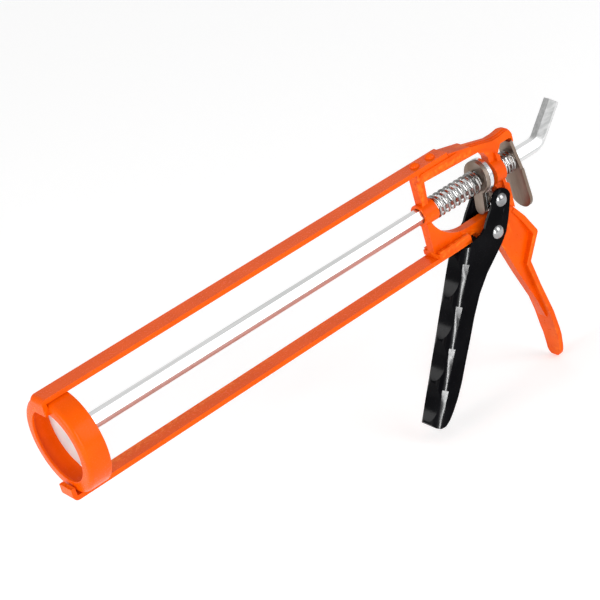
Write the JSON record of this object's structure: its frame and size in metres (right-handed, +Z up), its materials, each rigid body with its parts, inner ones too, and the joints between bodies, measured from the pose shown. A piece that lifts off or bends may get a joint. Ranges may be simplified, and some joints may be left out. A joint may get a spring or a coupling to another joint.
{
  "type": "caulking gun",
  "caption": "Skeleton caulking gun for rigid cartridges: orange frame with a nose ring and two rails, hex push rod with plunger, sprung trigger, grip plates and release plate.",
  "frame": {"origin": "centre of the nozzle opening, at the front face of the nose ring", "axes": "+X runs from the nose to the rear along the push rod, -Y is the gun's left side, +Z is up with the handle hanging down"},
  "size_m": [0.3791, 0.057, 0.1683],
  "materials": {
    "orange_paint": "semi-gloss powder coat",
    "black_paint": "gloss black paint",
    "bright_zinc": "bright zinc plate",
    "plain_steel": "blanked steel, lightly oiled",
    "spring_wire": "drawn spring wire, zinc plated"
  },
  "bodies": {
    "frame": {"body_casting": "orange_paint", "upper_rail": "orange_paint", "lower_rail": "orange_paint", "front_ring": "orange_paint", "upper_rail_rivets": "orange_paint", "lower_rail_rivets": "orange_paint", "pivot_bush": "plain_steel", "main_spring": "spring_wire", "release_spring": "spring_wire"},
    "trigger": {"trigger": "black_paint", "trigger_pivot_rivet": "bright_zinc", "trigger_pivot_washer": "bright_zinc", "drive_rivet": "bright_zinc", "drive_rivet_washer": "bright_zinc"},
    "drive_roller": {"drive_roller": "plain_steel"},
    "grip_plates": {"grip_plate_front": "plain_steel", "grip_plate_rear": "plain_steel"},
    "plunger": {"plunger_disc": "bright_zinc"},
    "rod": {"push_rod": "bright_zinc", "plunger_collar": "plain_steel"},
    "release": {"release_plate": "plain_steel"}
  },
  "joints": [
    {"name": "trigger_squeeze", "type": "hinge", "parent": "frame", "child": "trigger", "pos_m": [0.3038, 0, -0.0297], "axis": [0, -1, 0], "range_deg": [0, 28], "stiffness_Nm_per_rad": 0.6, "springref_deg": -14.32},
    {"name": "roller_turn", "type": "hinge", "parent": "trigger", "child": "drive_roller", "pos_m": [0.3116, 0, -0.0122], "axis": [0, 1, 0], "continuous": true},
    {"name": "grip_plates_slide", "type": "slide", "parent": "frame", "child": "grip_plates", "axis": [-1, 0, 0], "range_m": [0, 0.0095], "deforming": ["main_spring"]},
    {"name": "rod_slide", "type": "slide", "parent": "frame", "child": "plunger", "axis": [1, 0, 0], "range_m": [-0.0085, 0.23]},
    {"name": "rod_turn", "type": "hinge", "parent": "plunger", "child": "rod", "pos_m": [0.0125, 0, 0.002], "axis": [1, 0, 0], "continuous": true},
    {"name": "release_tilt", "type": "hinge", "parent": "frame", "child": "release", "pos_m": [0.3317, 0, 0.0155], "axis": [0, 1, 0], "range_deg": [0, 6], "stiffness_Nm_per_rad": 0.08, "springref_deg": -20.05, "deforming": ["release_spring"]}
  ],
  "couplings": [
    {"joint": "grip_plates_slide", "follows": "trigger_squeeze", "m_per_rad": 0.0191}
  ]
}
